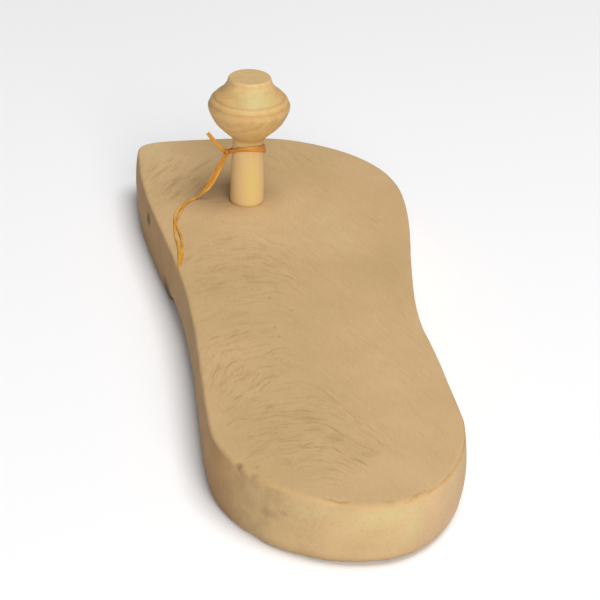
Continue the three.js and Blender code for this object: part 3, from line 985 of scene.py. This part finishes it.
def knob_band(tree, place, height, half_height, strength=1, core=0.25):
    """A soft band right round the knob, at a height above the footbed."""
    middle = knob_axis + Vector((0, 0, FOOTBED + height))
    return soft_spot(tree, place, middle, (whole_width, whole_width, half_height), 0, strength, core)


# Painted light: the neck is paler all round, in place of the light that the head's shadow takes from it.
painted_light_neck = knob_band(tree, in_mm, 11, 14, core=0.6)
# The wood is warmer just under the lower scribed line, and the scribed lines are darker. Painted shade
# darkens the hollow under the head, the neck's foot and the belly, and tones down the shoulder and the
# band between the lines, which face the light: height above the footbed, half the height of the band,
# strength.
browning_and_painted_shade_bands = {
    "lower line": (38.3, 1.2, 1),
    "band": (39.7, 1, 0.7),
    "upper line": (41, 1, 0.9),
    "shoulder": (42.5, 6, 0.7),
    "belly": (34.5, 5, 0.35),
    "hollow": (26, 4, 0.6),
    "foot": (0, 1.5, 0.5),
}
browning_and_painted_shade = greatest(tree, (knob_band(tree, in_mm, *band, core=0.05) for band in browning_and_painted_shade_bands.values()))
# Dirt has settled in the two scribed lines, each about 1 mm high.
scribed = greatest(tree, (
    knob_band(tree, in_mm, height, 0.6, core=0) for height in (lower_scribe, upper_scribe)))
# Small dapples on the head, where the turning tore the grain.
torn = mottled(tree, in_mm, 2.6, 3, 0.5, 0.45, 0.75)
on_head = add(tree, "ShaderNodeMapRange", {
    "Value": knob_grain.outputs["Z"], "From Min": FOOTBED + 24, "From Max": FOOTBED + 30},
    interpolation_type="SMOOTHSTEP")
dapples = product(tree, [torn, on_head.outputs[0]])
end_grain = knob_band(tree, in_mm, knob_height + 1, 2, core=0.5)
turned_colour = tinted(tree, fibred, [
    # Painted light on the neck.
    (painted_light_neck, 0.6, "#E6C48C"),
    # Browning, with painted shade under the head, at the neck's foot, on the belly, the shoulder and the
    # band.
    (browning_and_painted_shade, 0.5, "#A67A3F"),
    # Painted highlight: a gold-yellow stripe down the neck and on the belly, pale yellow-green on the
    # shoulder and the band.
    (painted_highlight_stripe, 0.7, "#D8C272"),
    (painted_highlight, 0.65, "#BAB179"),
    (scribed, 0.2, "#96692F"),
    (end_grain, 0.7, "#CBAD7C"),
    (dapples, 0.3, "#B3834A"),
])
knob_relief = add(tree, "ShaderNodeMath", {0: tool_lines.outputs["Fac"], 1: fibre_relief},
                  operation="ADD")
knob_bump = add(tree, "ShaderNodeBump", {"Strength": 0.25, "Distance": 0.06 * MM,
                                         "Height": knob_relief.outputs[0]})
turned = add(tree, "ShaderNodeBsdfPrincipled", {
    "Base Color": turned_colour, "Roughness": 0.58, "IOR": 1.47, "Specular IOR Level": 0.35,
    "Coat Weight": 0.05, "Coat Roughness": 0.4, "Normal": knob_bump.outputs["Normal"]})
add(tree, "ShaderNodeOutputMaterial", {"Surface": turned.outputs[0]})

toe_knob = place_piece("toe_knob_turned", bm, knob_wood, sharp=35)
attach(toe_knob, "root")
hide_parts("toe_knob")

# Studio
# A plain white table, a broad soft light overhead on the outer side, and a lower one behind the heel.
floor_paint, tree = new_material("white_table_matt_paint")
paint = add(tree, "ShaderNodeBsdfPrincipled", {
    "Base Color": linear("#F7F7F8"), "Roughness": 0.9, "Specular IOR Level": 0.1})
add(tree, "ShaderNodeOutputMaterial", {"Surface": paint.outputs[0]})
bm = bmesh.new()
bmesh.ops.create_grid(bm, x_segments=8, y_segments=8, size=3)
floor = place_piece("floor", bm, floor_paint)

# Each light: where it stands, its size and its power, and its colour.
lights = {
    "overhead": ((0.4, -0.5, 2.4), 1.5, 42, "#FFFFFF"),
    "heel": ((0.08, -2.2, 1.15), 1.6, 41, "#FFFDFA"),
}
for name, (place, size, power, colour) in lights.items():
    light = bpy.data.lights.new(name, "AREA")
    light.shape = "DISK"
    light.size = size
    light.energy = power
    light.color = linear(colour)[:3]
    lamp = bpy.data.objects.new(name, light)
    lamp.location = place
    lamp.rotation_euler = (-Vector(place)).to_track_quat("-Z", "Y").to_euler()
    bpy.context.scene.collection.objects.link(lamp)

world = bpy.data.worlds.new("studio")
world.use_nodes = True
world.node_tree.nodes.clear()
tree = world.node_tree
seen = add(tree, "ShaderNodeLightPath")
room = add(tree, "ShaderNodeBackground", {"Color": linear("#F4F6FA"), "Strength": 0.17})
backdrop = add(tree, "ShaderNodeBackground", {"Color": linear("#FAFAFA"), "Strength": 1})
either = add(tree, "ShaderNodeMixShader", {0: seen.outputs["Is Camera Ray"], 1: room.outputs[0],
                                           2: backdrop.outputs[0]})
add(tree, "ShaderNodeOutputWorld", {"Surface": either.outputs[0]})
bpy.context.scene.world = world
bpy.context.scene.view_settings.view_transform = "Standard"
